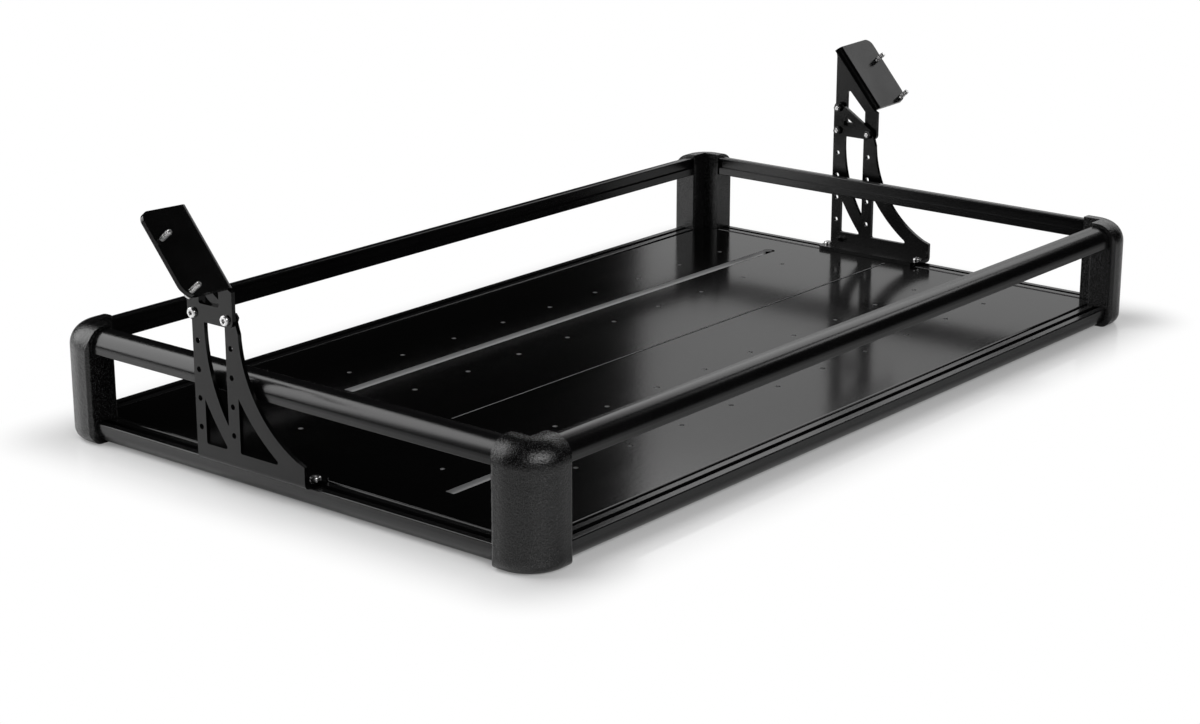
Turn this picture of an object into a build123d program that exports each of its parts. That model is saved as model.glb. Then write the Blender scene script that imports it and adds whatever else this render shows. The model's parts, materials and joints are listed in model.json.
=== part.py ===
from build123d import *
import math
import os

os.makedirs("parts", exist_ok=True)

# Rear cargo rack. Millimetres, +Z up, X along the long side, Y along the short side.
# The castings stand on z = 0 and the rack is centred on x = 0, y = 0.
# Front is the -Y side, left is the -X end.

# Rail frame
HALF_LENGTH = 471.5          # outer face of the end rails
HALF_WIDTH = 276.5           # outer face of the side rails
RAIL_WIDTH = 20.0            # rail section across its slotted or grooved face
RAIL_DEPTH = 20.0            # rail section square to that face
RAIL_ROUND = 15.0            # quarter round of the rail's outer corner
RAIL_EDGE = 1.2              # soft edge of the section's other corners
SLOT_LIP = 7.0               # from the square edge to the slot mouth
SLOT_MOUTH = 6.0
SLOT_LIP_THICK = 2.4
SLOT_CAVITY = 11.5
SLOT_DEPTH = 7.4
CORE_D = 6.0                 # bore along the rail for its end screw
CORE_INSET = 7.0             # bore centre from the round side
CHANNEL_BASE = 8.0           # shallow channel along the inner face of a top rail
CHANNEL_WIDTH = 9.0
CHANNEL_DEPTH = 3.0
RAIL_RISE = 0.5              # bottom rails above the floor
RAIL_GAP = 64.0              # clear height between bottom and top rails
LOW_TOP = RAIL_RISE + RAIL_DEPTH
HIGH_BASE = LOW_TOP + RAIL_GAP
HIGH_TOP = HIGH_BASE + RAIL_WIDTH
RAIL_END_X = HALF_LENGTH - RAIL_WIDTH
RAIL_END_Y = HALF_WIDTH - RAIL_WIDTH

# Corner castings
SKIN_OUT = 6.3               # casting outside the rails
SKIN_TOP = 3.3               # casting over the rails
SKIN_IN = 1.4                # casting inside the rails
WRAP = 40.5                  # casting along a rail, from the rail corner
PLAN_ROUND = 36.5
TOP_ROUND = 21.0
BASE_ROUND = 11.0
END_ROUND = 4.0              # the sides curve in where the rails come out
INNER_ROUND = 2.0            # upright inner edges
RAIL_FIT = 0.3               # clearance of a rail in its casting
CASTING_TOP = HIGH_TOP + SKIN_TOP

# Deck
DECK_TOP = LOW_TOP
DECK_SHEET = 2.5
DECK_FLANGE = 15.0
DECK_BEND = 3.0
DECK_CORNER = 5.0
DECK_FIT = 0.3
HOLE_COUNT = 11
HOLE_END = 104.5             # end hole from the rail's outer face
HOLE_PITCH = 2 * (HALF_LENGTH - HOLE_END) / (HOLE_COUNT - 1)
HOLE_D = 5.0
OUTER_ROW_Y = HALF_WIDTH - 106.5
INNER_ROW_Y = OUTER_ROW_Y / 2
GROOVE_DEPTH = 3.0
WIDE_GROOVE = 12.0
NARROW_GROOVE = 3.0
WIDE_GROOVE_Y = INNER_ROW_Y + 45.0
KEYHOLE_X = HALF_LENGTH - 66.5
KEYHOLE_D = 13.4
GROOVE_START_X = 209.5 - HALF_LENGTH          # rear and middle grooves
FRONT_GROOVE_START_X = 64.5 - HALF_LENGTH
MIDDLE_GROOVE_END_X = HALF_LENGTH - 29.5

# Support arms: pairs are y and the height over the deck
ARM_SHEET = 4.0
ARM_GAP = 3.5                # arm web outside the rail face
BEND_INSIDE = 1.0
BEND_OUTSIDE = BEND_INSIDE + ARM_SHEET
ARM_HOLE_PITCH = 25.4
ARM_HOLE_D = 5.0
ARM_HOLE_START = 30.0
TALL_Y = 88.4                # hole column of the tall upright
SHORT_Y = TALL_Y - 40.0      # hole column of the short upright
TALL_HOLES = 6
SHORT_HOLES = 5
PLATE_EDGE = 6.0             # plate outside the hole centres
FOOT_END_Y = SHORT_Y - 82.9
FOOT_NOSE = 20.0             # height of the toe over the deck
FOOT_REACH = 26.5            # foot inward from the web
FOOT_CORNER = 6.0
FRONT_BOLT_Y = FOOT_END_Y + 5.5
STRUT_TOP = (SHORT_Y - 9.6, 120.0)
STRUT_MID = (SHORT_Y - 28.0, 63.0)
STRUT_TOE = (FOOT_END_Y + 7.7, 22.6)
WINDOW_TOP = 126.0
WINDOW_TALL_Y = TALL_Y - 9.0
WINDOW_SHORT_Y = SHORT_Y + PLATE_EDGE
WINDOW_MID = (TALL_Y - 13.5, 82.6)
WINDOW_FOOT = (WINDOW_SHORT_Y + 0.9, 38.0)
HEEL_WINDOW = (
    (TALL_Y - 5.9, 55.9), (TALL_Y - 5.9, 16.0), (SHORT_Y + 6.9, 16.0), (TALL_Y - 17.8, 36.5))
TOE_WINDOW = (
    (SHORT_Y - 7.2, 64.3), (SHORT_Y - 7.2, 15.5), (SHORT_Y - 56.4, 15.5), (SHORT_Y - 26.6, 39.7))
HEAD_WINDOW = ((TALL_Y - 7.4, 138.0), (TALL_Y - 7.4, 149.5), (SHORT_Y + 14.4, 138.0))
WINDOW_ROUND = 2.0

# Pillar brackets: pairs are y and the height over the deck
BRACKET_SHEET = 4.0
FOLD_TOP = (TALL_Y + 2.4, 220.8)
FOLD_LOW = (SHORT_Y - 6.2, 164.0)
BRACKET_REAR_Y = TALL_Y + 6.6
BRACKET_FRONT_Y = SHORT_Y - 8.2
BRACKET_LOW = 125.4
BRACKET_KNEE = 156.5
BRACKET_SHOULDER = 214.0
BRACKET_WINDOW = (
    (TALL_Y - 7.9, 141.0), (TALL_Y - 7.9, 174.5), (TALL_Y - 11.4, 177.5),
    (SHORT_Y + 7.6, 155.8), (SHORT_Y + 7.6, 141.0))
FLANGE_REACH = 51.0
FLANGE_LEAN = 5.0            # degrees that the fold is short of a right angle
FLANGE_PAST_TOP = 3.5
FLANGE_PAST_LOW = 3.5
FLANGE_TOP_CORNER = 9.0
FLANGE_LOW_CORNER = 13.0
FLANGE_BEND_INSIDE = 2.5
FLANGE_BEND_OUTSIDE = FLANGE_BEND_INSIDE + BRACKET_SHEET
BRACKET_TOP_CORNER = 8.0
STUD_REACH = 42.7            # stud outward from the web's outer face
STUD_FIRST = 23.4            # first stud down the fold from its top end
STUD_SPACING = 50.0
STUD_D = 5.0
STUD_LENGTH = 12.0
STUD_KNURL = 0.3             # radial step of the shank that is pressed into the flange
STUD_SHOULDER = 0.4          # that shank above the flange
STUD_FIT = 0.1               # radial clearance of the pressed shank, drawn unpressed
STUD_HEAD_D = 9.0
STUD_HEAD_H = 1.6
HOLE_FIT = 0.3               # radial clearance of a fastener in its hole

# Fasteners
SCREW_D = 5.0
SCREW_HEAD_D = 9.5
SCREW_HEAD_H = 2.8
SCREW_HEAD_SLOPE = 1.2
NUT_ACROSS = 8.0
NUT_THICK = 4.0
SLOT_NUT_LENGTH = 14.0
SLOT_NUT_THICK = 3.6
SLOT_NUT_FIT = 0.3
SCREW_POINT = 1.0            # screw past its nut
THREAD_FIT = 0.1             # radial clearance of a thread in its nut

ARM_X = HALF_LENGTH + ARM_GAP
BRACKET_X = ARM_X + ARM_SHEET
FOOT_TOP = LOW_TOP + ARM_SHEET
FOOT_BOLT_X = HALF_LENGTH - RAIL_WIDTH + SLOT_LIP + SLOT_MOUTH / 2
CLEAR_D = SCREW_D + 2 * HOLE_FIT
HIGHEST_TALL = ARM_HOLE_START + (TALL_HOLES - 1) * ARM_HOLE_PITCH
HIGHEST_SHORT = ARM_HOLE_START + (SHORT_HOLES - 1) * ARM_HOLE_PITCH


def up(point):
    """A (y, height over the deck) pair as (y, z)."""
    return (point[0], point[1] + DECK_TOP)


def is_square_corner(point):
    """True at a corner of the section that the quarter round doesn't end in."""
    across = min(abs(point.X), abs(point.X - RAIL_DEPTH))
    along = min(abs(point.Y), abs(point.Y - RAIL_WIDTH))
    return across < 0.01 and along < 0.01


def rail_section(plane, face="plain", grow=0.0):
    """Rail section on a plane: x from the round side to the worked face, y from the square edge.

    The worked face is plain, slotted for nuts, or has a shallow channel."""
    with BuildSketch(plane) as section:
        with BuildLine():
            Line((RAIL_ROUND, RAIL_WIDTH), (RAIL_DEPTH, RAIL_WIDTH))
            Line((RAIL_DEPTH, RAIL_WIDTH), (RAIL_DEPTH, 0))
            Line((RAIL_DEPTH, 0), (0, 0))
            Line((0, 0), (0, RAIL_WIDTH - RAIL_ROUND))
            RadiusArc((0, RAIL_WIDTH - RAIL_ROUND), (RAIL_ROUND, RAIL_WIDTH), RAIL_ROUND)
        make_face()
        fillet([v for v in section.vertices() if is_square_corner(v)], radius=RAIL_EDGE)
        if grow:
            offset(amount=grow)
        mouth_y = SLOT_LIP + SLOT_MOUTH / 2
        if face == "slotted":
            cavity = SLOT_DEPTH - SLOT_LIP_THICK
            with Locations((RAIL_DEPTH - SLOT_LIP_THICK / 2, mouth_y)):
                Rectangle(SLOT_LIP_THICK, SLOT_MOUTH, mode=Mode.SUBTRACT)
            with Locations((RAIL_DEPTH - SLOT_LIP_THICK - cavity / 2, mouth_y)):
                Rectangle(cavity, SLOT_CAVITY, mode=Mode.SUBTRACT)
        if face == "channelled":
            with Locations((RAIL_DEPTH, CHANNEL_BASE)):
                Rectangle(CHANNEL_DEPTH, CHANNEL_WIDTH, align=(Align.MAX, Align.MIN), mode=Mode.SUBTRACT)
        if face != "plain":
            with Locations((CORE_INSET, mouth_y)):
                Circle(CORE_D / 2, mode=Mode.SUBTRACT)
    return section.sketch


def top_rail_plane(side):
    """Section plane at the start of a top rail; side is front, rear, left or right."""
    if side == "front":
        return Plane((-RAIL_END_X, -HALF_WIDTH, HIGH_BASE), x_dir=(0, 1, 0), z_dir=(1, 0, 0))
    if side == "rear":
        return Plane((RAIL_END_X, HALF_WIDTH, HIGH_BASE), x_dir=(0, -1, 0), z_dir=(-1, 0, 0))
    if side == "left":
        return Plane((-HALF_LENGTH, RAIL_END_Y, HIGH_BASE), x_dir=(1, 0, 0), z_dir=(0, -1, 0))
    return Plane((HALF_LENGTH, -RAIL_END_Y, HIGH_BASE), x_dir=(-1, 0, 0), z_dir=(0, 1, 0))


def bottom_rail_plane(side):
    """The same section turned a quarter turn: slot up, round at the bottom outside."""
    inner_x = HALF_LENGTH - RAIL_WIDTH
    inner_y = HALF_WIDTH - RAIL_WIDTH
    if side == "front":
        return Plane((-RAIL_END_X, -inner_y, RAIL_RISE), x_dir=(0, 0, 1), z_dir=(1, 0, 0))
    if side == "rear":
        return Plane((RAIL_END_X, inner_y, RAIL_RISE), x_dir=(0, 0, 1), z_dir=(-1, 0, 0))
    if side == "left":
        return Plane((-inner_x, RAIL_END_Y, RAIL_RISE), x_dir=(0, 0, 1), z_dir=(0, -1, 0))
    return Plane((inner_x, -RAIL_END_Y, RAIL_RISE), x_dir=(0, 0, 1), z_dir=(0, 1, 0))


# Rails: eight lengths of one section
for side in ("front", "rear", "left", "right"):
    length = 2 * (RAIL_END_X if side in ("front", "rear") else RAIL_END_Y)
    with BuildPart() as rail:
        extrude(rail_section(top_rail_plane(side), "channelled"), amount=length)
    rail.part.label = "top_rail_" + side
    export_step(rail.part, "parts/top_rail_" + side + ".step")
    with BuildPart() as rail:
        extrude(rail_section(bottom_rail_plane(side), "slotted"), amount=length)
    rail.part.label = "bottom_rail_" + side
    export_step(rail.part, "parts/bottom_rail_" + side + ".step")


def mirrored(solid, to_left, to_front):
    """A solid of the rear right corner, carried to another corner."""
    if to_left:
        solid = mirror(solid, about=Plane.YZ)
    if to_front:
        solid = mirror(solid, about=Plane.XZ)
    return solid


# Corner casting, drawn at the rear right corner
INNER_X = RAIL_END_X - SKIN_IN
INNER_Y = RAIL_END_Y - SKIN_IN
with BuildPart() as casting:
    with BuildSketch() as plan:
        with BuildLine():
            Polyline(
                (HALF_LENGTH + SKIN_OUT, HALF_WIDTH - WRAP),
                (HALF_LENGTH + SKIN_OUT, HALF_WIDTH + SKIN_OUT),
                (HALF_LENGTH - WRAP, HALF_WIDTH + SKIN_OUT),
                (HALF_LENGTH - WRAP, INNER_Y),
                (INNER_X, INNER_Y),
                (INNER_X, HALF_WIDTH - WRAP),
                close=True,
            )
        make_face()
        fillet(plan.vertices().sort_by(lambda v: v.X + v.Y)[-1], radius=PLAN_ROUND)
        fillet(plan.vertices().sort_by(lambda v: v.X + v.Y)[0], radius=INNER_ROUND)
    extrude(amount=CASTING_TOP)
    for z, radius in ((CASTING_TOP, TOP_ROUND), (0.0, BASE_ROUND)):
        rim = casting.edges().filter_by_position(Axis.Z, z, z)
        outer_rim = [
            e for e in rim
            if (e.geom_type == GeomType.CIRCLE and e.radius > INNER_ROUND)
            or abs(e.center().X - HALF_LENGTH - SKIN_OUT) < 0.01
            or abs(e.center().Y - HALF_WIDTH - SKIN_OUT) < 0.01
        ]
        fillet(outer_rim, radius=radius)
    with BuildSketch() as rounded_plan:
        add(plan.sketch)
        ends = [
            v for v in rounded_plan.vertices()
            if (abs(v.X - HALF_LENGTH + WRAP) < 0.01 and v.Y > HALF_WIDTH)
            or (abs(v.Y - HALF_WIDTH + WRAP) < 0.01 and v.X > HALF_LENGTH)
        ]
        fillet(ends, radius=END_ROUND)
    extrude(amount=CASTING_TOP, mode=Mode.INTERSECT)
    for side in ("rear", "right"):
        length = 2 * (RAIL_END_X if side == "rear" else RAIL_END_Y)
        # The rear rails start in this casting and the right ones end in it
        start = -RAIL_FIT if side == "rear" else length + RAIL_FIT
        depth = WRAP if side == "rear" else -WRAP
        for pocket_plane in (top_rail_plane(side), bottom_rail_plane(side)):
            pocket = rail_section(pocket_plane.offset(start), grow=RAIL_FIT)
            extrude(pocket, amount=depth, mode=Mode.SUBTRACT)

for name, to_left, to_front in (
    ("rear_right", False, False), ("rear_left", True, False),
    ("front_right", False, True), ("front_left", True, True),
):
    piece = mirrored(casting.part, to_left, to_front)
    piece.label = "corner_casting_" + name
    export_step(piece, "parts/corner_casting_" + name + ".step")

# Deck: a folded sheet pan with pressed grooves, held between the castings' inner faces
deck_x = INNER_X - DECK_FIT
deck_y = INNER_Y - DECK_FIT
HOLE_XS = [(i - (HOLE_COUNT - 1) / 2) * HOLE_PITCH for i in range(HOLE_COUNT)]
HOLE_YS = (-OUTER_ROW_Y, -INNER_ROW_Y, INNER_ROW_Y, OUTER_ROW_Y)
GROOVES = (
    (WIDE_GROOVE_Y, GROOVE_START_X, KEYHOLE_X, WIDE_GROOVE),
    (0.0, GROOVE_START_X, MIDDLE_GROOVE_END_X, NARROW_GROOVE),
    (-WIDE_GROOVE_Y, FRONT_GROOVE_START_X, KEYHOLE_X, WIDE_GROOVE),
)
with BuildPart() as deck:
    with BuildSketch(Plane.XY.offset(DECK_TOP - DECK_FLANGE)):
        RectangleRounded(2 * deck_x, 2 * deck_y, DECK_CORNER)
    extrude(amount=DECK_FLANGE)
    fillet(deck.faces().sort_by(Axis.Z)[-1].edges(), radius=DECK_BEND)
    with BuildSketch(Plane.XY.offset(DECK_TOP - DECK_FLANGE)):
        RectangleRounded(2 * (deck_x - DECK_SHEET), 2 * (deck_y - DECK_SHEET), DECK_CORNER - DECK_SHEET)
    extrude(amount=DECK_FLANGE - DECK_SHEET, mode=Mode.SUBTRACT)
    # Groove walls stand below the sheet
    for y, start, end, width in GROOVES:
        with BuildSketch(Plane.XY.offset(DECK_TOP - DECK_SHEET)):
            with Locations(((start + end) / 2, y)):
                Rectangle(end - start + 2 * DECK_SHEET, width + 2 * DECK_SHEET)
        extrude(amount=-GROOVE_DEPTH)
    for y, start, end, width in GROOVES:
        with BuildSketch(Plane.XY.offset(DECK_TOP)):
            with Locations(((start + end) / 2, y)):
                RectangleRounded(end - start, width, min(2.0, width / 3))
        extrude(amount=-GROOVE_DEPTH, mode=Mode.SUBTRACT)
    with Locations((KEYHOLE_X, WIDE_GROOVE_Y, DECK_TOP), (KEYHOLE_X, -WIDE_GROOVE_Y, DECK_TOP)):
        Hole(KEYHOLE_D / 2)
    with Locations(*[(x, y, DECK_TOP) for x in HOLE_XS for y in HOLE_YS]):
        Hole(HOLE_D / 2)
deck.part.label = "deck_panel"
export_step(deck.part, "parts/deck_panel.step")


# Support arm, drawn at the right end: web in a Y-Z plane, foot turned in over the rail
hyp_y = TALL_Y - SHORT_Y
hyp_z = HIGHEST_TALL - HIGHEST_SHORT
hyp = math.hypot(hyp_y, hyp_z)
normal = (-hyp_z / hyp * PLATE_EDGE, hyp_y / hyp * PLATE_EDGE)
mid_tall = (math.cos(math.radians(60)) * PLATE_EDGE, math.sin(math.radians(60)) * PLATE_EDGE)
tall_top = up((TALL_Y, HIGHEST_TALL))
short_top = up((SHORT_Y, HIGHEST_SHORT))
tall_holes = [up((TALL_Y, ARM_HOLE_START + i * ARM_HOLE_PITCH)) for i in range(TALL_HOLES)]
short_holes = [up((SHORT_Y, ARM_HOLE_START + i * ARM_HOLE_PITCH)) for i in range(SHORT_HOLES)]

with BuildPart() as arm:
    with BuildSketch(Plane.YZ.offset(ARM_X)) as web:
        with BuildLine():
            Line((TALL_Y + PLATE_EDGE, LOW_TOP), (tall_top[0] + PLATE_EDGE, tall_top[1]))
            ThreePointArc(
                (tall_top[0] + PLATE_EDGE, tall_top[1]),
                (tall_top[0] + mid_tall[0], tall_top[1] + mid_tall[1]),
                (tall_top[0] + normal[0], tall_top[1] + normal[1]),
            )
            Line((tall_top[0] + normal[0], tall_top[1] + normal[1]),
                 (short_top[0] + normal[0], short_top[1] + normal[1]))
            ThreePointArc(
                (short_top[0] + normal[0], short_top[1] + normal[1]),
                (short_top[0] - math.cos(math.radians(30)) * PLATE_EDGE, short_top[1] + PLATE_EDGE / 2),
                (short_top[0] - PLATE_EDGE, short_top[1]),
            )
            Line((short_top[0] - PLATE_EDGE, short_top[1]), up(STRUT_TOP))
            ThreePointArc(up(STRUT_TOP), up(STRUT_MID), up(STRUT_TOE))
            Line(up(STRUT_TOE), up((FOOT_END_Y, FOOT_NOSE)))
            Line(up((FOOT_END_Y, FOOT_NOSE)), (FOOT_END_Y, LOW_TOP))
            Line((FOOT_END_Y, LOW_TOP), (TALL_Y + PLATE_EDGE, LOW_TOP))
        make_face()
    extrude(amount=ARM_SHEET)
    with BuildSketch(Plane.YZ.offset(ARM_X)) as windows:
        with BuildLine():
            Line(up((WINDOW_TALL_Y, WINDOW_TOP)), up((WINDOW_SHORT_Y, WINDOW_TOP)))
            Line(up((WINDOW_SHORT_Y, WINDOW_TOP)), up((WINDOW_SHORT_Y, WINDOW_FOOT[1])))
            Line(up((WINDOW_SHORT_Y, WINDOW_FOOT[1])), up(WINDOW_FOOT))
            ThreePointArc(up(WINDOW_FOOT), up(WINDOW_MID), up((WINDOW_TALL_Y, WINDOW_TOP)))
        make_face()
        for top, heel, toe, mid in (HEEL_WINDOW, TOE_WINDOW):
            with BuildLine():
                Line(up(top), up(heel))
                Line(up(heel), up(toe))
                ThreePointArc(up(toe), up(mid), up(top))
            make_face()
        with BuildLine():
            Polyline(*[up(p) for p in HEAD_WINDOW], close=True)
        make_face()
        fillet([v for v in windows.vertices() if v.Y < DECK_TOP + 20], radius=WINDOW_ROUND)
    extrude(amount=ARM_SHEET, mode=Mode.SUBTRACT)
    with BuildSketch(Plane.YZ.offset(ARM_X)):
        with Locations(*tall_holes, *short_holes):
            Circle(ARM_HOLE_D / 2)
    extrude(amount=ARM_SHEET, mode=Mode.SUBTRACT)
    foot_length = TALL_Y + PLATE_EDGE - FOOT_END_Y
    with Locations((ARM_X + ARM_SHEET, FOOT_END_Y, LOW_TOP)):
        Box(ARM_SHEET + FOOT_REACH, foot_length, ARM_SHEET, align=(Align.MAX, Align.MIN, Align.MIN))
    along = arm.edges().filter_by(Axis.Y)
    fillet([e for e in along if abs(e.center().X - BRACKET_X) < 0.01 and abs(e.center().Z - LOW_TOP) < 0.01],
           radius=BEND_OUTSIDE)
    fillet([e for e in arm.edges().filter_by(Axis.Z)
            if abs(e.center().X - ARM_X + FOOT_REACH) < 0.01], radius=FOOT_CORNER)
    with Locations(*[(FOOT_BOLT_X, y, FOOT_TOP) for y in (TALL_Y, FRONT_BOLT_Y)]):
        Hole(CLEAR_D / 2, depth=ARM_SHEET)

for name, to_left in (("left", True), ("right", False)):
    piece = mirrored(arm.part, to_left, False)
    piece.label = "support_arm_" + name
    export_step(piece, "parts/support_arm_" + name + ".step")


# Pillar bracket, drawn at the right end: web outside the arm, flange bent outward along the fold
fold_top = up(FOLD_TOP)
fold_low = up(FOLD_LOW)
fold_length = math.dist(fold_top, fold_low)
fold_dir = ((fold_top[0] - fold_low[0]) / fold_length, (fold_top[1] - fold_low[1]) / fold_length)
lean = math.radians(FLANGE_LEAN)
flange_normal = (-math.sin(lean), -fold_dir[1] * math.cos(lean), fold_dir[0] * math.cos(lean))
flange_out = (math.cos(lean), -fold_dir[1] * math.sin(lean), fold_dir[0] * math.sin(lean))
flange_plane = Plane(
    origin=(BRACKET_X, fold_top[0], fold_top[1]), x_dir=flange_out, z_dir=flange_normal)
fold_start = (fold_top[0] + fold_dir[0] * FLANGE_PAST_TOP, fold_top[1] + fold_dir[1] * FLANGE_PAST_TOP)
fold_plane = Plane(
    origin=(BRACKET_X, *fold_start), x_dir=(1, 0, 0), z_dir=(0, -fold_dir[0], -fold_dir[1]))
bend_in = (fold_dir[1] * FLANGE_BEND_OUTSIDE, -fold_dir[0] * FLANGE_BEND_OUTSIDE)
web_fold_top = (fold_top[0] + bend_in[0], fold_top[1] + bend_in[1])
web_fold_low = (fold_low[0] + bend_in[0], fold_low[1] + bend_in[1])
SCREW_POINTS = (
    up((TALL_Y, HIGHEST_TALL)),
    up((TALL_Y, HIGHEST_SHORT)),
    up((SHORT_Y, HIGHEST_SHORT)),
)
stud_x = BRACKET_SHEET + STUD_REACH
STUD_POINTS = ((stud_x, -STUD_FIRST), (stud_x, -STUD_FIRST - STUD_SPACING))

with BuildPart() as bracket:
    with BuildSketch(Plane.YZ.offset(BRACKET_X)) as web:
        with BuildLine():
            Polyline(
                up((BRACKET_REAR_Y, BRACKET_LOW)),
                up((BRACKET_REAR_Y, BRACKET_SHOULDER)),
                web_fold_top,
                web_fold_low,
                up((BRACKET_FRONT_Y, BRACKET_KNEE)),
                up((BRACKET_FRONT_Y, BRACKET_LOW)),
                close=True,
            )
        make_face()
        fillet([v for v in web.vertices() if v.Y < DECK_TOP + BRACKET_LOW + 1], radius=PLATE_EDGE)
        shoulder = [v for v in web.vertices() if abs(v.Y - DECK_TOP - BRACKET_SHOULDER) < 0.01]
        fillet(shoulder, radius=BRACKET_TOP_CORNER)
        with BuildLine(mode=Mode.PRIVATE) as opening:
            Polyline(*[up(p) for p in BRACKET_WINDOW], close=True)
        with BuildSketch(mode=Mode.PRIVATE) as hole_shape:
            add(make_face(opening.edges(), mode=Mode.PRIVATE))
            fillet(hole_shape.vertices(), radius=WINDOW_ROUND)
        add(hole_shape.sketch, mode=Mode.SUBTRACT)
        with Locations(*SCREW_POINTS):
            Circle(CLEAR_D / 2, mode=Mode.SUBTRACT)
    extrude(amount=BRACKET_SHEET)
    # Bend and flange: one bent section drawn along the fold
    reach = BRACKET_SHEET + FLANGE_REACH
    tip = (reach * math.cos(lean), reach * math.sin(lean))
    low_tip = (tip[0] + BRACKET_SHEET * math.sin(lean), tip[1] - BRACKET_SHEET * math.cos(lean))
    bend = (FLANGE_BEND_OUTSIDE, -FLANGE_BEND_OUTSIDE * (1 - math.sin(lean)) / math.cos(lean))
    with BuildSketch(fold_plane):
        with BuildLine():
            outer = CenterArc(bend, FLANGE_BEND_OUTSIDE, 90 + FLANGE_LEAN, 90 - FLANGE_LEAN)
            inner = CenterArc(bend, FLANGE_BEND_INSIDE, 90 + FLANGE_LEAN, 90 - FLANGE_LEAN)
            Polyline(outer @ 0, tip, low_tip, inner @ 0)
            Polyline(outer @ 1, (0, -FLANGE_BEND_OUTSIDE), (BRACKET_SHEET, -FLANGE_BEND_OUTSIDE), inner @ 1)
        make_face()
    extrude(amount=FLANGE_PAST_TOP + fold_length + FLANGE_PAST_LOW)
    through = bracket.edges().filter_by(Axis((0, 0, 0), flange_normal))
    free_corners = through.group_by(Axis.X)[-1].sort_by(Axis.Z)
    fillet(free_corners[-1], radius=FLANGE_TOP_CORNER)
    fillet(free_corners[0], radius=FLANGE_LOW_CORNER)
    with BuildSketch(flange_plane):
        with Locations(*STUD_POINTS):
            Circle(STUD_D / 2 + STUD_KNURL + STUD_FIT)
    extrude(amount=-BRACKET_SHEET, mode=Mode.SUBTRACT)

for name, to_left in (("left", True), ("right", False)):
    piece = mirrored(bracket.part, to_left, False)
    piece.label = "pillar_bracket_" + name
    export_step(piece, "parts/pillar_bracket_" + name + ".step")


def on_flange(x, y, height):
    """Plane on the stud side of the flange, height above its face."""
    point = flange_plane.from_local_coords((x, y, height))
    return Plane(origin=point, x_dir=(1, 0, 0), z_dir=flange_normal)


# Studs: head seated behind the flange
for number, (x, y) in enumerate(STUD_POINTS, start=1):
    with BuildPart() as stud:
        with BuildSketch(on_flange(x, y, -BRACKET_SHEET)):
            Circle(STUD_HEAD_D / 2)
        extrude(amount=-STUD_HEAD_H)
        with BuildSketch(on_flange(x, y, -BRACKET_SHEET)):
            Circle(STUD_D / 2 + STUD_KNURL)
        extrude(amount=BRACKET_SHEET + STUD_SHOULDER)
        with BuildSketch(on_flange(x, y, STUD_SHOULDER)):
            Circle(STUD_D / 2)
        extrude(amount=STUD_LENGTH - STUD_SHOULDER)
        chamfer(stud.faces().sort_by(Axis(flange_plane.origin, flange_normal))[-1].edges(), length=STUD_D / 6)
    for name, to_left in (("left", True), ("right", False)):
        piece = mirrored(stud.part, to_left, False)
        piece.label = "bracket_stud_" + name + "_" + str(number)
        export_step(piece, "parts/" + piece.label + ".step")

# Bracket screws from outside, nuts behind the arm web
for number, (y, z) in enumerate(SCREW_POINTS, start=1):
    with BuildPart() as screw:
        with BuildSketch(Plane.YZ.offset(BRACKET_X + BRACKET_SHEET)):
            with Locations((y, z)):
                Circle(SCREW_HEAD_D / 2)
        extrude(amount=SCREW_HEAD_H)
        chamfer(screw.faces().sort_by(Axis.X)[-1].edges(), length=SCREW_HEAD_SLOPE)
        with BuildSketch(Plane.YZ.offset(BRACKET_X + BRACKET_SHEET)):
            with Locations((y, z)):
                Circle(SCREW_D / 2)
        extrude(amount=-BRACKET_SHEET - ARM_SHEET - NUT_THICK - SCREW_POINT)
    with BuildPart() as nut:
        with BuildSketch(Plane.YZ.offset(ARM_X)):
            with Locations((y, z)):
                RegularPolygon(NUT_ACROSS / 2, 6, major_radius=False)
                Circle(SCREW_D / 2 + THREAD_FIT, mode=Mode.SUBTRACT)
        extrude(amount=-NUT_THICK)
    for name, to_left in (("left", True), ("right", False)):
        piece = mirrored(screw.part, to_left, False)
        piece.label = "bracket_screw_" + name + "_" + str(number)
        export_step(piece, "parts/" + piece.label + ".step")
        piece = mirrored(nut.part, to_left, False)
        piece.label = "bracket_nut_" + name + "_" + str(number)
        export_step(piece, "parts/" + piece.label + ".step")

# Foot bolts through the arm's foot into nuts held in the rail slot
for place, y in (("rear", TALL_Y), ("front", FRONT_BOLT_Y)):
    with BuildPart() as bolt:
        with BuildSketch(Plane.XY.offset(FOOT_TOP)):
            with Locations((FOOT_BOLT_X, y)):
                Circle(SCREW_HEAD_D / 2)
        extrude(amount=SCREW_HEAD_H)
        chamfer(bolt.faces().sort_by(Axis.Z)[-1].edges(), length=SCREW_HEAD_SLOPE)
        with BuildSketch(Plane.XY.offset(FOOT_TOP)):
            with Locations((FOOT_BOLT_X, y)):
                Circle(SCREW_D / 2)
        extrude(amount=-ARM_SHEET - SLOT_LIP_THICK - SLOT_NUT_THICK)
    with BuildPart() as slot_nut:
        with BuildSketch(Plane.XY.offset(LOW_TOP - SLOT_LIP_THICK)):
            with Locations((FOOT_BOLT_X, y)):
                Rectangle(SLOT_CAVITY - 2 * SLOT_NUT_FIT, SLOT_NUT_LENGTH)
                Circle(SCREW_D / 2 + THREAD_FIT, mode=Mode.SUBTRACT)
        extrude(amount=-SLOT_NUT_THICK)
    for name, to_left in (("left", True), ("right", False)):
        piece = mirrored(bolt.part, to_left, False)
        piece.label = "foot_bolt_" + name + "_" + place
        export_step(piece, "parts/" + piece.label + ".step")
        piece = mirrored(slot_nut.part, to_left, False)
        piece.label = "slot_nut_" + name + "_" + place
        export_step(piece, "parts/" + piece.label + ".step")
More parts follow.
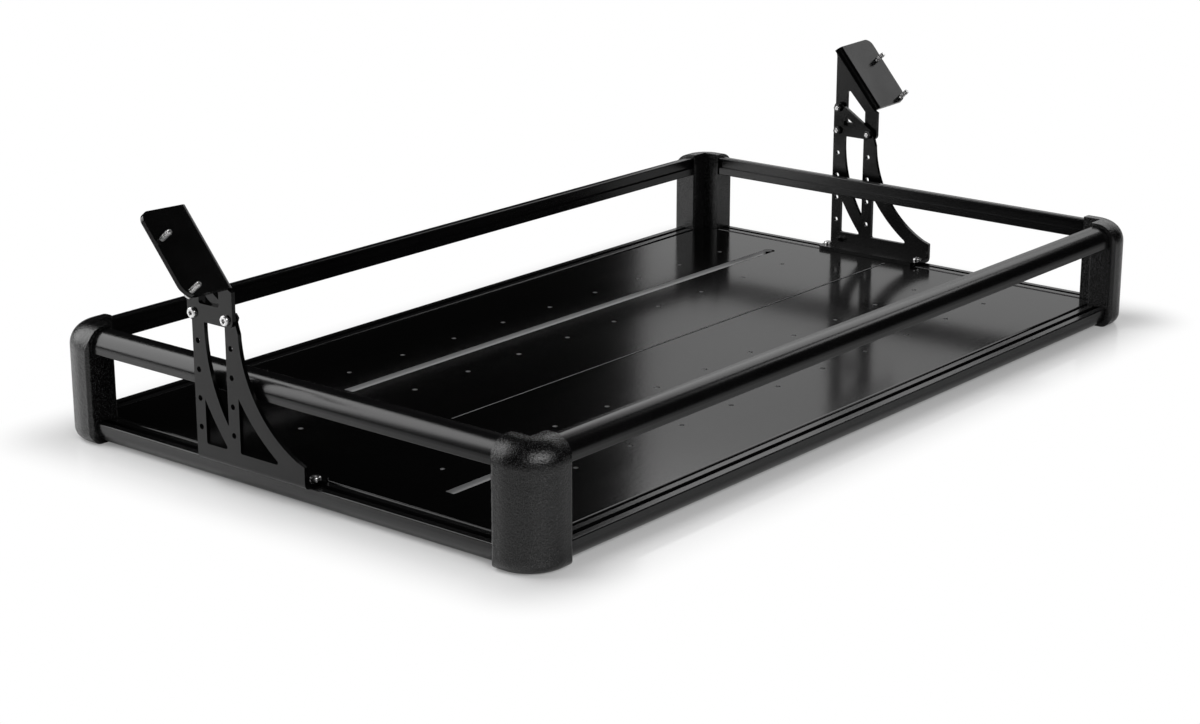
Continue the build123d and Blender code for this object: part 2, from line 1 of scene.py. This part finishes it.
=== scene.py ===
# %% [markdown]
# # A rear cargo rack, dressed and lit
# The packed model brings every rail, casting, plate and fastener at its true size, in metres. Its
# shapes stay as they are, and this script gives them their finishes, swaps the plain fasteners for
# threaded ones with sockets, and builds the studio.

# %% Load the frame
import json
import math
import bpy
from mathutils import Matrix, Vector


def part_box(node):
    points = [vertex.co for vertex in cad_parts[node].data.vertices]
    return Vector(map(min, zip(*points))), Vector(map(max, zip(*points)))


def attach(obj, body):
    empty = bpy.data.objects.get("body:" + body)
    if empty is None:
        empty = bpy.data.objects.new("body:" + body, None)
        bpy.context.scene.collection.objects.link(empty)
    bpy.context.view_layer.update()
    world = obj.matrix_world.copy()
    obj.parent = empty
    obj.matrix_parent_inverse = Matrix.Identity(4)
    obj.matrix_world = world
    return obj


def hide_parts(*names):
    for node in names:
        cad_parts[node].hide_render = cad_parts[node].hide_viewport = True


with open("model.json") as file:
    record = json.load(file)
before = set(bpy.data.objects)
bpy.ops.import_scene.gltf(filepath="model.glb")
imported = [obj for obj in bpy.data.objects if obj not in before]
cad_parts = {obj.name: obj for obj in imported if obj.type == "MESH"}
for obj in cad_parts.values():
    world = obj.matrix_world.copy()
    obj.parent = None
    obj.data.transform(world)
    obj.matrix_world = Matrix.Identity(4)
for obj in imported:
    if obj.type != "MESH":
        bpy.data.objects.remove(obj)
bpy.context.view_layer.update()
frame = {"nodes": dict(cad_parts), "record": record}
nodes = frame["nodes"]

# %% [markdown]
# ## Wires for shader maths
# A finish is a small sum of patterns. Written as node links it is hard to read, so one class wraps a
# socket and turns Python's operators into Math nodes: `1 - grain * 0.3` adds two of them. Anything
# that isn't plain maths, such as a noise or a shader, comes from the one method `node`.


# %% The Wire class
class Wire:
    """An output socket of a node tree, which Python's operators can be used on."""

    def __init__(self, tree, socket=None):
        self.tree = tree
        self.socket = socket

    def node(self, kind, settings=None, values=None, output=0):
        """Adds any node: its settings first, then its sockets' values or links."""
        made = self.tree.nodes.new(kind)
        for name, value in (settings or {}).items():
            setattr(made, name, value)
        for name, value in (values or {}).items():
            if isinstance(value, Wire):
                self.tree.links.new(value.socket, made.inputs[name])
            else:
                made.inputs[name].default_value = value
        return Wire(self.tree, made.outputs[output] if made.outputs else None)

    def maths(self, operation, *values):
        return self.node("ShaderNodeMath", {"operation": operation}, dict(enumerate(values)))

    def __add__(self, other):
        return self.maths("ADD", self, other)

    def __sub__(self, other):
        return self.maths("SUBTRACT", self, other)

    def __mul__(self, other):
        return self.maths("MULTIPLY", self, other)

    def __rsub__(self, other):
        return self.maths("SUBTRACT", other, self)

    __radd__ = __add__
    __rmul__ = __mul__


print("operators ready:", [name for name in vars(Wire) if name.strip("_") in ("add", "sub", "mul", "rsub")])


# %% Helpers for finishes
def new_finish(name):
    """An empty material, and the wire that its nodes start from."""
    material = bpy.data.materials.new(name)
    material.use_nodes = True
    material.node_tree.nodes.clear()
    return material, Wire(material.node_tree)


def place(start, scale=(1.0, 1.0, 1.0)):
    """Object coordinates in metres, stretched where a pattern runs along a piece."""
    where = start.node("ShaderNodeTexCoord", output="Object")
    return start.node("ShaderNodeMapping", values={"Vector": where, "Scale": scale})


def noise(start, where, scale, detail=2.0, roughness=0.5):
    return start.node("ShaderNodeTexNoise", values={
        "Vector": where, "Scale": scale, "Detail": detail, "Roughness": roughness}, output=0)


def close_finish(start, surface):
    start.node("ShaderNodeOutputMaterial", values={"Surface": surface})


def tinted(start, dark, pale, amount):
    """A colour between two, by a wire from 0 to 1."""
    return start.node("ShaderNodeMix", {"data_type": "RGBA"}, {0: amount, 6: dark, 7: pale}, output=2)


# %% [markdown]
# ## Extruded rails
# The rails are drawn aluminium with a satin black coat. The die leaves faint lines along the length,
# so a noise is squeezed across the rail and stretched along it. A rail along X and one along Y need
# the stretch in different directions: one finish for each is simpler than a mask by direction.


# %% Satin extrusion finish
def extrusion_finish(name, along):
    material, start = new_finish(name)
    stretch = (3.0, 900.0, 900.0) if along == "x" else (900.0, 3.0, 900.0)
    die_lines = noise(start, place(start, stretch), 1.0, 3.0, 0.6)
    cloud = noise(start, place(start), 14.0, 3.0)
    speckle = noise(start, place(start), 2600.0, 1.0)
    height = die_lines * 0.55 + speckle * 0.45
    bump = start.node("ShaderNodeBump", values={"Height": height, "Strength": 0.22, "Distance": 0.00008})
    surface = start.node("ShaderNodeBsdfPrincipled", values={
        "Base Color": tinted(start, (0.002, 0.002, 0.0021, 1), (0.005, 0.005, 0.0053, 1), cloud),
        "Roughness": 0.15 + die_lines * 0.07 + cloud * 0.05,
        "Specular IOR Level": 0.5,
        "Normal": bump,
    })
    close_finish(start, surface)
    return material


rail_x_finish = extrusion_finish("satin_extrusion_long", "x")
rail_y_finish = extrusion_finish("satin_extrusion_cross", "y")
print("rail finishes:", rail_x_finish.name, rail_y_finish.name)

# %% [markdown]
# ## Textured castings
# The four corners are castings with a coarse powder coat: pebbles between one and two millimetres
# across, which scatter the light into small bright specks. A Voronoi pattern gives the round pebbles
# and a noise breaks their regular look. Both tilt the surface through a Bump node, and the noise also paints
# pale specks into the colour: painted glints for the pebbles that catch the light.


# %% Powder finish
def powder_finish(name, pebble, depth, rough, shine, dark, pale):
    material, start = new_finish(name)
    where = place(start)
    cells = start.node("ShaderNodeTexVoronoi", {"feature": "SMOOTH_F1"}, {
        "Vector": where, "Scale": 1.0 / pebble, "Smoothness": 0.8}, output="Distance")
    grit = noise(start, where, 2.2 / pebble, 2.0, 0.6)
    cloud = noise(start, where, 25.0, 2.0)
    height = (1.0 - cells) * 0.6 + grit * 0.6
    bump = start.node("ShaderNodeBump", values={"Height": height, "Strength": 1.0, "Distance": depth})
    # Painted glints: where the grit noise peaks, the colour turns paler, as for pebbles that catch the light.
    specks = start.node("ShaderNodeMapRange", values={
        "Value": grit, "From Min": 0.5, "From Max": 0.72, "To Min": 0.0, "To Max": 1.0})
    surface = start.node("ShaderNodeBsdfPrincipled", values={
        "Base Color": tinted(start, dark, pale, specks),
        "Roughness": rough + cloud * 0.1,
        "Specular IOR Level": shine,
        "Normal": bump,
    })
    close_finish(start, surface)
    return material


casting_finish = powder_finish(
    "coarse_powder_coat", 0.0017, 0.00036, 0.12, 0.56, (0.001, 0.001, 0.001, 1), (0.05, 0.05, 0.051, 1))
print("casting finish:", casting_finish.name)

# %% [markdown]
# ## Laser-cut plates
# Arms and brackets are folded steel plate with a fine black powder coat. The same pattern serves at a
# third of the size and a small part of the depth, with far fainter painted glints: it reads as a soft sheen
# and not as pebbles.

# %% Fine powder finish
plate_finish = powder_finish(
    "fine_powder_coat", 0.0006, 0.00002, 0.12, 0.3, (0.001, 0.001, 0.001, 1), (0.004, 0.004, 0.0042, 1))
print("plate finish:", plate_finish.name)

# %% [markdown]
# ## Gloss deck
# The deck is sheet with a smooth gloss coat that mirrors the arms and rails. Sprayed gloss is never
# quite flat: a shallow ripple a few millimetres long, the painter's orange peel, bends the mirror
# image a little, and faint dust and wiping marks change its roughness.
# Inside the grooves and holes the colour is painted pale grey, apart from the dark strips: a painted
# highlight for the light that their rounded edges catch from above. The near side of each mirrors only the
# dark above, which leaves a bright line with a thin black one under it.


# %% Recesses of the deck
BELOW_FACE = 0.0203          # a recess starts under this height, just below the deck's face
LESS_FLANGE = (0.447, 0.248)  # the deck inside its folded edge, half length and half width
THIN_GROOVE_DEEP = 0.0197    # the thin groove is dark under this height
THIN_GROOVE_HALF = 0.003
WIDE_GROOVE_MIDDLE = 0.13    # each wide groove's middle, either side of the deck's
WIDE_GROOVE_NEAR = (-0.0065, 0.0013)  # the dark strip of its floor, from that middle
TOWARD_PANELS = (0.0, -0.5, 0.866)  # a normal that mirrors the high panel on the right
TOWARD_DARK = (-0.461, -0.376, 0.804)  # a normal that mirrors the dark overhead


def recess_slope(start):
    """Which parts of the deck's grooves and holes get a painted highlight, and the normals used inside them.
    """
    where = place(start)
    x, y, z = (start.node("ShaderNodeSeparateXYZ", values={0: where}, output=axis) for axis in "XYZ")
    facing = start.node("ShaderNodeTexCoord", output="Normal")
    upward = start.node("ShaderNodeSeparateXYZ", values={0: facing}, output="Z")
    below = start.maths("LESS_THAN", z, BELOW_FACE) * start.maths("GREATER_THAN", upward, -0.1)
    inside = (below * start.maths("LESS_THAN", start.maths("ABSOLUTE", x), LESS_FLANGE[0])
              * start.maths("LESS_THAN", start.maths("ABSOLUTE", y), LESS_FLANGE[1]))
    deep = (start.maths("LESS_THAN", z, THIN_GROOVE_DEEP)
            * start.maths("LESS_THAN", start.maths("ABSOLUTE", y), THIN_GROOVE_HALF))
    for middle in (WIDE_GROOVE_MIDDLE, -WIDE_GROOVE_MIDDLE):
        across = y - middle
        strip = (start.maths("GREATER_THAN", across, WIDE_GROOVE_NEAR[0])
                 * start.maths("LESS_THAN", across, WIDE_GROOVE_NEAR[1]))
        deep = deep + strip * start.maths("GREATER_THAN", upward, 0.5)
    lean = start.node("ShaderNodeMix", {"data_type": "VECTOR"}, {
        0: deep, 4: TOWARD_PANELS, 5: TOWARD_DARK}, output=1)
    leaning = start.node("ShaderNodeMix", {"data_type": "VECTOR"}, {0: inside, 4: facing, 5: lean}, output=1)
    # Painted highlight: the recess walls and floors, apart from the dark strips, get a pale colour in
    # gloss_finish.
    painted_light_walls = inside * (1.0 - deep)
    return painted_light_walls, start.node("ShaderNodeVectorTransform", {
        "vector_type": "NORMAL", "convert_from": "OBJECT", "convert_to": "WORLD"}, {0: leaning})


# %% Gloss coat finish
def gloss_finish(name):
    material, start = new_finish(name)
    where = place(start)
    peel = noise(start, where, 260.0, 2.0, 0.5)
    wipes = noise(start, place(start, (5.0, 22.0, 5.0)), 1.0, 4.0, 0.6)
    dust = noise(start, where, 1500.0, 2.0, 0.7)
    specks = start.node("ShaderNodeMapRange", values={
        "Value": dust, "From Min": 0.62, "From Max": 0.8, "To Min": 0.0, "To Max": 1.0})
    painted_light_walls, slope = recess_slope(start)
    bump = start.node("ShaderNodeBump", values={
        "Height": peel, "Strength": 0.12, "Distance": 0.0002, "Normal": slope})
    # Painted highlight: inside the grooves and holes the colour turns pale grey, for light caught on their
    # rounded edges; faint dust specks add a little.
    dust_and_painted_highlight = specks * 0.008 + painted_light_walls * 0.95
    surface = start.node("ShaderNodeBsdfPrincipled", values={
        "Base Color": tinted(start, (0.001, 0.001, 0.001, 1), (0.42, 0.42, 0.425, 1), dust_and_painted_highlight),
        "Roughness": 0.1 + wipes * 0.06 + specks * 0.1 + painted_light_walls * 0.15,
        "Specular IOR Level": 0.3,
        "Normal": bump,
    })
    close_finish(start, surface)
    return material


deck_finish = gloss_finish("gloss_deck_coat")
print("deck finish:", deck_finish.name)

# %% [markdown]
# ## Stainless fasteners
# Screws, bolts and studs are bare stainless steel, turned and rolled: the only bright things on the
# rack. The nuts are the same metal, darkened, so that only a screw's end shines in each. Metallic is
# 1 all over, and fine noise varies the roughness.


# %% Steel finishes
def steel_skin(name, dark, pale, rough):
    material, start = new_finish(name)
    where = place(start)
    marks = noise(start, where, 3000.0, 2.0)
    stain = noise(start, where, 300.0, 2.0)
    bump = start.node("ShaderNodeBump", values={"Height": marks, "Strength": 0.15, "Distance": 0.00003})
    surface = start.node("ShaderNodeBsdfPrincipled", values={
        "Base Color": tinted(start, dark, pale, stain),
        "Metallic": 1.0,
        "Roughness": rough + marks * 0.12,
        "Normal": bump,
    })
    close_finish(start, surface)
    return material


steel_finish = steel_skin("bright_stainless", (0.66, 0.66, 0.67, 1), (0.8, 0.79, 0.78, 1), 0.2)
nut_finish = steel_skin("dark_steel", (0.05, 0.05, 0.05, 1), (0.11, 0.11, 0.11, 1), 0.3)
print("fastener finishes:", steel_finish.name, nut_finish.name)


# %% Finishes on the frame's own nodes
def finish_of(name):
    if name.startswith("corner_casting"):
        return casting_finish
    if "_rail_" in name:
        return rail_x_finish if name.endswith(("front", "rear")) else rail_y_finish
    if name == "deck_panel":
        return deck_finish
    if name.startswith(("support_arm", "pillar_bracket")):
        return plate_finish
    return steel_finish


for name, node in nodes.items():
    for slot in node.material_slots:
        slot.material = finish_of(name)
    if not node.material_slots:
        node.data.materials.append(finish_of(name))
print("dressed nodes:", len(nodes))

# %% [markdown]
# ## Fasteners from Geometry Nodes
# Ten button-head screws, four studs and six nuts repeat a few shapes, which is what Geometry Nodes are
# for. One tree makes a fastener out of primitives, from named sizes, and sets it on every point of a
# small mesh. Each point has an `aim`, the way that the fastener's head or tip looks. The places are
# read from the frame's boxes, so each one sits exactly where its plain stand-in was, and the sizes are given
# as numbers.


# %% A tree builder
class Grower:
    """A Geometry Nodes tree with named inputs, and one method that adds a node."""

    def __init__(self, name):
        self.tree = bpy.data.node_groups.new(name, "GeometryNodeTree")
        self.tree.interface.new_socket("Geometry", in_out="INPUT", socket_type="NodeSocketGeometry")
        self.tree.interface.new_socket("Geometry", in_out="OUTPUT", socket_type="NodeSocketGeometry")
        self.entry = self.tree.nodes.new("NodeGroupInput")
        self.identifiers = {}

    def size(self, name, kind="NodeSocketFloat"):
        socket = self.tree.interface.new_socket(name, in_out="INPUT", socket_type=kind)
        self.identifiers[name] = socket.identifier
        return self.entry.outputs[name]

    def node(self, kind, settings=None, values=None):
        made = self.tree.nodes.new(kind)
        for name, value in (settings or {}).items():
            setattr(made, name, value)
        for name, value in (values or {}).items():
            if isinstance(value, bpy.types.NodeSocket):
                self.tree.links.new(value, made.inputs[name])
            else:
                made.inputs[name].default_value = value
        return made.outputs

    def sum(self, operation, *values):
        return self.node("ShaderNodeMath", {"operation": operation}, dict(enumerate(values)))[0]

    def along_z(self, z):
        return self.node("ShaderNodeCombineXYZ", values={"Z": z})[0]

    def moved(self, geometry, z):
        return self.node("GeometryNodeTransform", values={
            "Geometry": geometry, "Translation": self.along_z(z)})[0]

    def joined(self, *geometries):
        made = self.tree.nodes.new("GeometryNodeJoinGeometry")
        for geometry in geometries:
            self.tree.links.new(geometry, made.inputs[0])
        return made.outputs[0]

    def rod(self, sides, radius, depth, base):
        """A closed cylinder or prism that stands on z = base, and the selection of its top."""
        made = self.node("GeometryNodeMeshCylinder", values={
            "Vertices": sides, "Radius": radius, "Depth": depth})
        middle = self.sum("MULTIPLY_ADD", depth, 0.5, base)
        return self.moved(made["Mesh"], middle), made["Top"]

    def drawn_in(self, geometry, selection, rise, shrink):
        """Pushes the selected faces out by rise and shrinks them: one ring of a dome."""
        pushed = self.node("GeometryNodeExtrudeMesh", values={
            "Mesh": geometry, "Selection": selection, "Offset Scale": rise, "Individual": False})
        shrunk = self.node("GeometryNodeScaleElements", values={
            "Geometry": pushed["Mesh"], "Selection": pushed["Top"], "Scale": shrink})
        return shrunk[0], pushed["Top"]

    def thread(self, radius, pitch, length, base):
        """A ridge that winds up a shank."""
        turns = self.sum("DIVIDE", length, pitch)
        path = self.node("GeometryNodeCurveSpiral", values={
            "Resolution": 28, "Rotations": turns, "Start Radius": radius, "End Radius": radius,
            "Height": length})[0]
        ridge = self.node("GeometryNodeCurvePrimitiveCircle", values={
            "Resolution": 3, "Radius": self.sum("MULTIPLY", pitch, 0.42)})["Curve"]
        wound = self.node("GeometryNodeCurveToMesh", values={
            "Curve": path, "Profile Curve": ridge, "Fill Caps": True})[0]
        return self.moved(wound, base)

    def finish(self, fastener, material):
        """Sets the fastener on each point, turned to its aim and spun at random, as plain mesh."""
        aim = self.node("GeometryNodeInputNamedAttribute", {"data_type": "FLOAT_VECTOR"}, {"Name": "aim"})[0]
        facing = self.node("FunctionNodeAlignRotationToVector", {"axis": "Z"}, {"Vector": aim})[0]
        spin = self.node("FunctionNodeRandomValue", {"data_type": "FLOAT"}, {
            "Min": 0.0, "Max": 6.283, "Seed": 7})
        turn = self.node("FunctionNodeAxisAngleToRotation", values={
            "Axis": (0.0, 0.0, 1.0), "Angle": spin["Value"]})[0]
        aimed = self.node("FunctionNodeRotateRotation", {"rotation_space": "LOCAL"}, {
            "Rotation": facing, "Rotate By": turn})[0]
        placed = self.node("GeometryNodeInstanceOnPoints", values={
            "Points": self.entry.outputs["Geometry"], "Instance": fastener, "Rotation": aimed})[0]
        solid = self.node("GeometryNodeRealizeInstances", values={"Geometry": placed})[0]
        coated = self.node("GeometryNodeSetMaterial", values={"Geometry": solid, "Material": material})[0]
        leave = self.tree.nodes.new("NodeGroupOutput")
        self.tree.links.new(coated, leave.inputs[0])


print("tree builder ready")


# %% Growing a piece from its places
def grow(name, grower, places, sizes):
    """Runs a tree on points with an aim, and keeps the result as a plain mesh at the origin."""
    mesh = bpy.data.meshes.new(name + "_places")
    mesh.from_pydata([point for point, aim in places], [], [])
    aims = mesh.attributes.new("aim", "FLOAT_VECTOR", "POINT")
    for item, (point, aim) in zip(aims.data, places):
        item.vector = aim
    holder = bpy.data.objects.new(name + "_holder", mesh)
    bpy.context.scene.collection.objects.link(holder)
    modifier = holder.modifiers.new("grow", "NODES")
    modifier.node_group = grower.tree
    for key, value in sizes.items():
        modifier[grower.identifiers[key]] = value
    ready = holder.evaluated_get(bpy.context.evaluated_depsgraph_get())
    baked = bpy.data.meshes.new_from_object(ready)
    holder.modifiers.clear()
    bpy.data.objects.remove(holder)
    piece = bpy.data.objects.new(name, baked)
    bpy.context.scene.collection.objects.link(piece)
    print(name, "faces:", len(baked.polygons))
    return piece


def settle(piece, *replaced):
    """The piece takes the place of plain nodes and rides with the rack."""
    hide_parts(*replaced)
    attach(piece, "root")


def named(prefix):
    return sorted(name for name in nodes if name.startswith(prefix))


# %% Button-head screws
HEXAGON_REACH = 0.5774       # a hexagon's corner from its middle, for 1 across its flats


def screw_tree():
    g = Grower("button_head_screw")
    width, height = g.size("Head Width"), g.size("Head Height")
    across, deep = g.size("Socket Across"), g.size("Socket Depth")
    shank, length, pitch = g.size("Shank Width"), g.size("Shank Length"), g.size("Thread Pitch")
    material = g.size("Finish", "NodeSocketMaterial")
    head, top = g.rod(48, g.sum("MULTIPLY", width, 0.5), g.sum("MULTIPLY", height, 0.5), 0.0)
    for rise, shrink in ((0.25, 0.96), (0.15, 0.94), (0.07, 0.92), (0.03, 0.9)):
        head, top = g.drawn_in(head, top, g.sum("MULTIPLY", height, rise), shrink)
    socket = g.rod(6, g.sum("MULTIPLY", across, HEXAGON_REACH), g.sum("MULTIPLY", deep, 2.0),
                   g.sum("SUBTRACT", height, deep))[0]
    cut = g.node("GeometryNodeMeshBoolean", {"operation": "DIFFERENCE", "solver": "EXACT"}, {
        "Mesh 1": head, "Mesh 2": socket})[0]
    back = g.sum("MULTIPLY", length, -1.0)
    core = g.rod(24, g.sum("MULTIPLY", shank, 0.43), length, back)[0]
    ridge = g.thread(g.sum("MULTIPLY", shank, 0.44), pitch, length, back)
    g.finish(g.joined(cut, core, ridge), material)
    return g


screw_grower = screw_tree()
print("inputs:", sorted(screw_grower.identifiers))

# %% Screws and bolts in their places
HEAD_HEIGHT = 0.0028


def box_of(name):
    """A node's lowest corner, highest corner and middle."""
    low, high = (Vector(corner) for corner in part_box(name))
    return low, high, (low + high) / 2


def outward_places(names, axis):
    """Where each head meets its plate: the head's height inside the far end of the node's box."""
    found = []
    for name in names:
        low, high, middle = box_of(name)
        if axis == "x":
            outer = math.copysign(1.0, middle.x)
            middle.x = (high.x if outer > 0 else low.x) - outer * HEAD_HEIGHT
            found.append((tuple(middle), (outer, 0.0, 0.0)))
        else:
            middle.z = high.z - HEAD_HEIGHT
            found.append((tuple(middle), (0.0, 0.0, 1.0)))
    return found


SCREW = {"Head Width": 0.0095, "Head Height": HEAD_HEIGHT, "Socket Across": 0.004, "Socket Depth": 0.0018,
         "Shank Width": 0.005, "Thread Pitch": 0.0008, "Finish": steel_finish}
for piece_name, prefix, axis, shank_length in (
        ("bracket_screws", "bracket_screw", "x", 0.0128), ("foot_bolts", "foot_bolt", "z", 0.0098)):
    plain = named(prefix)
    places = outward_places(plain, axis)
    piece = grow(piece_name, screw_grower, places, SCREW | {"Shank Length": shank_length})
    settle(piece, *plain)

# %% [markdown]
# ## Studs and nuts
# The studs are pressed into the flanges from behind: a thin round head, then a rolled thread with a
# chamfered tip. Their direction leans with the flange: the record's mounts state it, and the box of
# each plain stud gives the middle of its head's back, one head radius inside the box's faces. Each
# nut is a six-sided prism with its free end drawn in, and a bore cut through it.


# %% Threaded studs
def stud_tree():
    g = Grower("pressed_stud")
    shank, length, pitch = g.size("Shank Width"), g.size("Shank Length"), g.size("Thread Pitch")
    head_width, head_height = g.size("Head Width"), g.size("Head Height")
    material = g.size("Finish", "NodeSocketMaterial")
    chamfer = 0.0008
    core, top = g.rod(32, g.sum("MULTIPLY", shank, 0.44), g.sum("SUBTRACT", length, chamfer), 0.0)
    core, top = g.drawn_in(core, top, chamfer, 0.78)
    run = g.sum("SUBTRACT", length, 0.0022)
    ridge = g.thread(g.sum("MULTIPLY", shank, 0.448), pitch, run, chamfer)
    head = g.rod(40, g.sum("MULTIPLY", head_width, 0.5), head_height, g.sum("MULTIPLY", head_height, -1.0))[0]
    g.finish(g.joined(core, ridge, head), material)
    return g


stud_grower = stud_tree()
stud_mounts = {mount["name"]: mount for mount in frame["record"]["mounts"]}
STUD_HEAD_RADIUS, STUD_HEAD_HEIGHT = 0.0045, 0.0016
stud_places = []
stud_names = named("bracket_stud")
for name in stud_names:
    aim = Vector(stud_mounts["stud_pair_left" if "left" in name else "stud_pair_right"]["axis"])
    low, high, middle = box_of(name)
    # The head's disc reaches this far from its middle along each axis
    reach = [STUD_HEAD_RADIUS * math.sqrt(1 - part ** 2) for part in aim]
    back = Vector(low[i] + reach[i] if aim[i] > 0 else high[i] - reach[i] for i in range(3))
    stud_places.append((tuple(back + aim * STUD_HEAD_HEIGHT), tuple(aim)))
studs = grow("bracket_studs", stud_grower, stud_places, {
    "Shank Width": 0.005, "Shank Length": 0.016, "Thread Pitch": 0.0008,
    "Head Width": STUD_HEAD_RADIUS * 2, "Head Height": STUD_HEAD_HEIGHT, "Finish": steel_finish})
settle(studs, *stud_names)


# %% Hexagon nuts
def nut_tree():
    g = Grower("hexagon_nut")
    across, height, bore = g.size("Across Flats"), g.size("Height"), g.size("Bore")
    material = g.size("Finish", "NodeSocketMaterial")
    bevel = g.sum("MULTIPLY", height, 0.08)
    body, top = g.rod(6, g.sum("MULTIPLY", across, HEXAGON_REACH), g.sum("MULTIPLY", height, 0.84), bevel)
    body, top = g.drawn_in(body, top, bevel, 0.9)
    hole = g.rod(32, g.sum("MULTIPLY", bore, 0.5), g.sum("MULTIPLY", height, 2.0),
                 g.sum("MULTIPLY", height, -0.5))[0]
    cut = g.node("GeometryNodeMeshBoolean", {"operation": "DIFFERENCE", "solver": "EXACT"}, {
        "Mesh 1": body, "Mesh 2": hole})[0]
    g.finish(g.moved(cut, g.sum("MULTIPLY", height, -0.08)), material)
    return g


nut_places = []
nut_names = named("bracket_nut")
for name in nut_names:
    low, high, middle = box_of(name)
    inward = -math.copysign(1.0, low.x)
    middle.x = low.x if inward > 0 else high.x
    nut_places.append((tuple(middle), (inward, 0.0, 0.0)))
nuts = grow("bracket_nuts", nut_tree(), nut_places, {
    "Across Flats": 0.008, "Height": 0.004, "Bore": 0.0052, "Finish": nut_finish})
settle(nuts, *nut_names)

# %% [markdown]
# ## The studio
# The rack stands on a plain white floor in a room that is white to the camera and dark to a gloss
# surface, since the deck in the photograph mirrors black wherever no panel stands. Six panels of soft
# light shape it: one behind to the left for the tops of the rails, two stacked to the right that the
# deck mirrors as a grey band, a small one to the right for the far bracket, a wide one in front for
# the outer faces, and a ceiling that only fills the shadows. Each is given by its centre, its size
# and its radiance, where 1 is white. The floor gives off white to the camera away from the rack, and
# takes the rack's shadow close by.


# %% Floor
RACK_REACH = (0.47, 0.27, 0.0)  # the frame's half length and half width
SHADOW_REACH = 0.085         # how far from it the floor turns white to the camera


def floor_finish():
    material, start = new_finish("pale_floor")
    where = place(start)
    cloud = noise(start, where, 3.0, 2.0)
    paint = start.node("ShaderNodeBsdfPrincipled", values={
        "Base Color": tinted(start, (0.97, 0.97, 0.97, 1), (0.99, 0.99, 0.99, 1), cloud),
        "Roughness": 0.08,
        "Specular IOR Level": 0.5,
    })
    white = start.node("ShaderNodeEmission", values={"Color": (1, 1, 1, 1), "Strength": 1.0})
    # How far a point lies outside the rack's outline, in metres
    outside = start.node("ShaderNodeVectorMath", {"operation": "ABSOLUTE"}, {0: where})
    outside = start.node("ShaderNodeVectorMath", {"operation": "SUBTRACT"}, {0: outside, 1: RACK_REACH})
    outside = start.node("ShaderNodeVectorMath", {"operation": "MAXIMUM"}, {0: outside, 1: (0.0, 0.0, 0.0)})
    away = start.node("ShaderNodeVectorMath", {"operation": "LENGTH"}, {0: outside}, output="Value")
    far = start.node("ShaderNodeMapRange", {"interpolation_type": "SMOOTHSTEP"}, {
        "Value": away, "From Min": 0.0, "From Max": SHADOW_REACH, "To Min": 0.2, "To Max": 1.0})
    seen = start.node("ShaderNodeLightPath", output="Is Camera Ray")
    close_finish(start, start.node("ShaderNodeMixShader", values={0: seen * far, 1: paint, 2: white}))
    return material


floor_mesh = bpy.data.meshes.new("floor")
floor_mesh.from_pydata([(-9, -9, 0), (9, -9, 0), (9, 9, 0), (-9, 9, 0)], [], [(0, 1, 2, 3)])
floor_mesh.materials.append(floor_finish())
floor = bpy.data.objects.new("floor", floor_mesh)
bpy.context.scene.collection.objects.link(floor)
print("floor corners:", len(floor_mesh.vertices))


# %% World
world = bpy.data.worlds.new("studio")
bpy.context.scene.world = world
world.use_nodes = True
world.node_tree.nodes.clear()
air = Wire(world.node_tree)
ROOM_GLOW = 0.004            # what the room gives to everything but the camera
room = air.node("ShaderNodeBackground", values={"Color": (1, 1, 1, 1), "Strength": ROOM_GLOW})
white = air.node("ShaderNodeBackground", values={"Color": (1, 1, 1, 1), "Strength": 1.0})
seen = air.node("ShaderNodeLightPath", output="Is Camera Ray")
sky = air.node("ShaderNodeMixShader", values={0: seen, 1: room, 2: white})
air.node("ShaderNodeOutputWorld", values={"Surface": sky})
print("world nodes:", len(world.node_tree.nodes))


# %% Lamps
RACK_MIDDLE = Vector((0.0, 0.0, 0.1))


def softbox(name, spot, width, height, radiance):
    """A lamp panel that looks at the rack's middle, as bright as a surface of that radiance."""
    lamp = bpy.data.lights.new(name, "AREA")
    lamp.shape = "RECTANGLE"
    lamp.size, lamp.size_y = width, height
    lamp.energy = radiance * math.pi * width * height
    holder = bpy.data.objects.new(name, lamp)
    holder.location = spot
    holder.rotation_euler = (RACK_MIDDLE - Vector(spot)).to_track_quat("-Z", "Y").to_euler()
    holder.visible_camera = False
    bpy.context.scene.collection.objects.link(holder)
    return holder


upright = Vector((-1.0, 0.0, 0.0)).to_track_quat("-Z", "Y").to_euler()
# Name, centre, width, height and radiance
softbox("panel_left", (-1.26, 2.27, 1.5), 2.5, 2.8, 3.0)
softbox("panel_right_low", (3.0, 1.03, 0.825), 2.66, 1.35, 0.66).rotation_euler = upright
softbox("panel_right_high", (3.0, 1.03, 2.3), 2.66, 1.6, 1.5).rotation_euler = upright
softbox("panel_side", (1.95, -0.69, 1.45), 0.4, 0.4, 2.3)
softbox("panel_front", (-1.0, -2.15, 1.6), 1.8, 1.2, 4.5)
softbox("ceiling", (-0.9, 0.9, 2.2), 1.6, 1.2, 1.8).visible_glossy = False

# %% [markdown]
# ## The camera
# The photograph's view was worked out from the rack's own straight lines: a long lens, about 2.5 m
# from the middle of the rack, at the height of a table top. The lens is a plain number of
# millimetres on a 36 mm sensor, with no shift.

# %% Camera
FOCAL_PIXELS = 2537.66       # focal length in pixels of the photograph
PICTURE_WIDTH = 1200
camera_data = bpy.data.cameras.new("camera")
camera_data.sensor_width = 36.0
camera_data.lens = FOCAL_PIXELS * camera_data.sensor_width / PICTURE_WIDTH
camera = bpy.data.objects.new("camera", camera_data)
camera.location = (-1.8477, -1.4648, 0.7320)
camera_aim = Vector((0.7408, 0.6047, -0.2923))
camera.rotation_euler = camera_aim.to_track_quat("-Z", "Y").to_euler()
bpy.context.scene.collection.objects.link(camera)
bpy.context.scene.camera = camera
bpy.context.scene.view_settings.view_transform = "Standard"
print("lens:", round(camera_data.lens, 2))

# %% [markdown]
